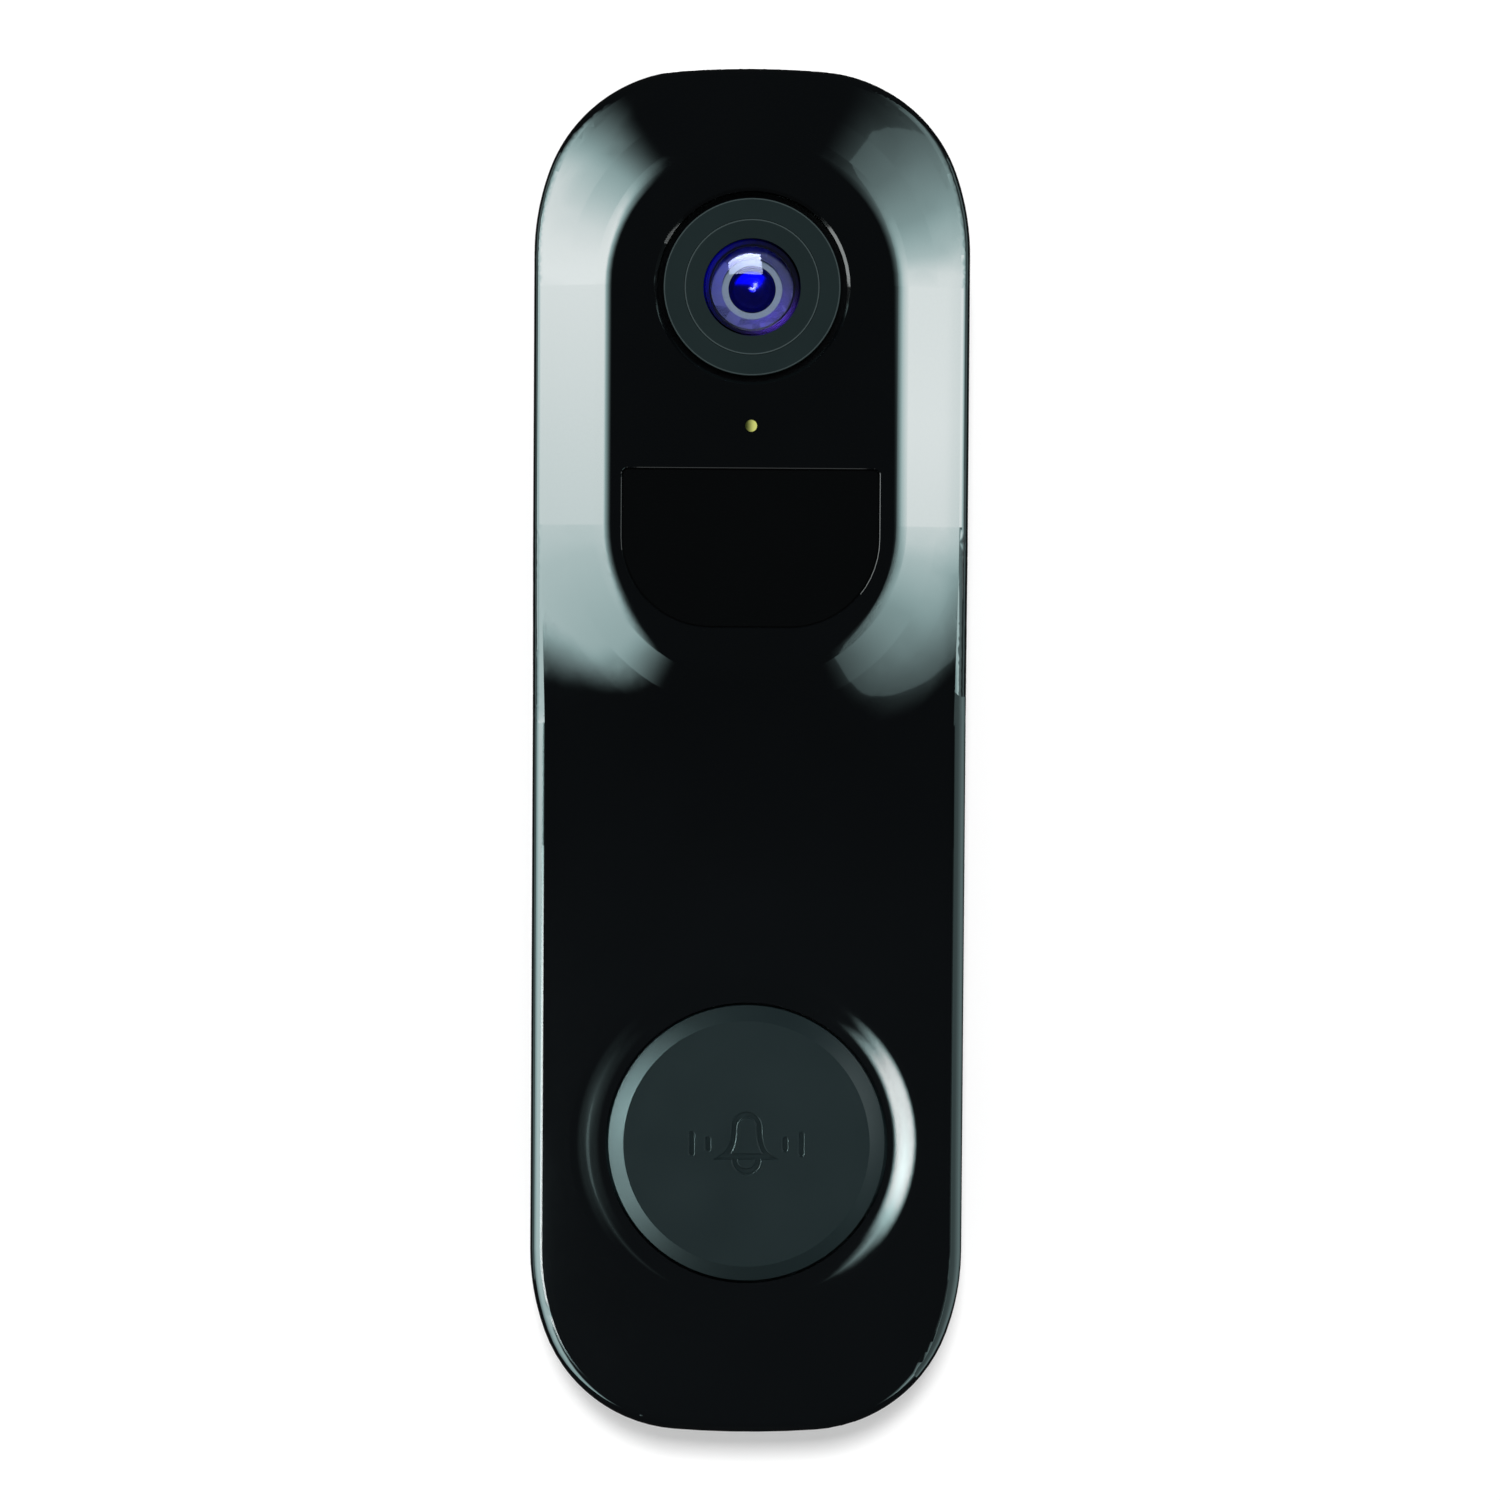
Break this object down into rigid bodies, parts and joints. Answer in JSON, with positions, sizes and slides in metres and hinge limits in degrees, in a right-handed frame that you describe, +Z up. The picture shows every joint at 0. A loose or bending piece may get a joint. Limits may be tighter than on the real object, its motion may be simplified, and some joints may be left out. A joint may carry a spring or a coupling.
{
  "type": "video doorbell",
  "caption": "Slim rounded video doorbell on a wall plate, with a raised camera pod, motion-sensor window, status light and large round push button.",
  "frame": {"origin": "centre of the wall plate's back face, on the wall", "axes": "+Y into the wall (the front faces -Y), +Z up along the body, +X to the right seen from the front"},
  "size_m": [0.0446, 0.0282, 0.14],
  "materials": {
    "wall_plate": "fine moulded texture",
    "screw_steel": "zinc-plated steel",
    "black_screw": "black-coated steel",
    "rear_shell": "fine moulded texture",
    "gloss_shell": "high gloss",
    "black_silicone": "matte",
    "satin_disc": "satin, passes infrared",
    "bezel": "satin",
    "anodised": "black anodised",
    "front_glass": "coated glass",
    "inner_glass": "coated glass",
    "stop_black": "flat black",
    "holder_plastic": "moulded",
    "filter_glass": "dichroic filter",
    "sensor_face": "silicon under glass",
    "circuit_board": "solder mask",
    "polyimide": "flexible circuit",
    "led_lens": "tinted epoxy",
    "window_plastic": "high gloss, passes heat",
    "can_metal": "nickel-plated can",
    "black_plastic": "moulded",
    "light_pipe": "clear pipe lit olive yellow",
    "led_chip": "surface-mount light",
    "button_plastic": "fine satin texture",
    "grey_silicone": "matte",
    "switch_body": "moulded",
    "switch_tip": "moulded",
    "chip_epoxy": "moulded epoxy",
    "tin": "tin plate",
    "brass": "plated brass",
    "usb_steel": "nickel-plated shell",
    "reset_plastic": "moulded",
    "terminal_plastic": "moulded",
    "battery_wrap": "lithium cell in a heat-shrink wrap",
    "foam": "foam tape",
    "wire": "flexible insulation",
    "connector_white": "moulded",
    "driver_frame": "moulded frame and magnet",
    "cone_film": "thin film"
  },
  "bodies": {
    "plate": {"wall_plate": "wall_plate"},
    "unit": {"rear_housing": "rear_shell", "front_housing": "gloss_shell", "housing_seal": "black_silicone", "housing_screws": "black_screw", "camera_trim_ring": "satin_disc", "lens_bezel": "bezel", "lens_barrel": "anodised", "lens_retaining_ring": "anodised", "lens_front_element": "front_glass", "lens_spacer_ring": "anodised", "lens_second_element": "inner_glass", "aperture_stop": "stop_black", "lens_rear_element": "inner_glass", "lens_holder": "holder_plastic", "image_sensor": "sensor_face", "camera_board": "circuit_board", "camera_screws": "screw_steel", "camera_ribbon": "polyimide", "ir_led_board": "circuit_board", "ir_leds": "led_lens", "pir_lens": "window_plastic", "pir_sensor": "can_metal", "pir_shroud": "black_plastic", "status_led": "led_chip", "status_light_pipe": "light_pipe", "button_gasket": "grey_silicone", "button_retainer": "black_plastic", "retainer_screws": "screw_steel", "button_switch": "switch_body", "main_board": "circuit_board", "board_screws": "screw_steel", "board_chips": "chip_epoxy", "shield_can": "tin", "wifi_antenna": "brass", "usb_socket": "usb_steel", "reset_switch": "switch_body", "terminal_block": "terminal_plastic", "terminal_screws": "brass", "terminal_pins": "tin", "battery_pad": "foam", "battery_pack": "battery_wrap", "battery_connector": "connector_white", "battery_lead": "wire", "speaker_gasket": "foam", "speaker_driver": "driver_frame", "speaker_cone": "cone_film", "microphone_boot": "black_silicone", "microphone": "tin", "audio_leads": "wire"},
    "security_screw": {"security_screw": "screw_steel"},
    "button": {"button_cap": "button_plastic", "switch_plunger": "switch_tip"},
    "usb_cover": {"port_cover": "black_silicone"},
    "reset_button": {"reset_key": "reset_plastic"},
    "filter_slide": {"ir_filter_carriage": "black_plastic", "ir_filter_glass": "filter_glass"}
  },
  "joints": [
    {"name": "unit_lift", "type": "slide", "parent": "plate", "child": "unit", "axis": [0, 0, 1], "range_m": [0, 0.005]},
    {"name": "security_screw_withdraw", "type": "slide", "parent": "plate", "child": "security_screw", "axis": [0, 0, -1], "range_m": [0, 0.009]},
    {"name": "button_press", "type": "slide", "parent": "unit", "child": "button", "axis": [0, 1, 0], "range_m": [0, 0.0006], "stiffness_N_per_m": 1000, "springref_m": -0.001},
    {"name": "usb_cover_hinge", "type": "hinge", "parent": "unit", "child": "usb_cover", "pos_m": [0.02225, -0.019, 0.002], "axis": [0, -1, 0], "range_deg": [0, 110], "stiffness_Nm_per_rad": 0.0004, "springref_deg": -5.73},
    {"name": "reset_press", "type": "slide", "parent": "unit", "child": "reset_button", "axis": [0, -1, 0], "range_m": [0, 0.0004], "stiffness_N_per_m": 400, "springref_m": -0.001},
    {"name": "filter_shift", "type": "slide", "parent": "unit", "child": "filter_slide", "axis": [-1, 0, 0], "range_m": [0, 0.0048]}
  ]
}
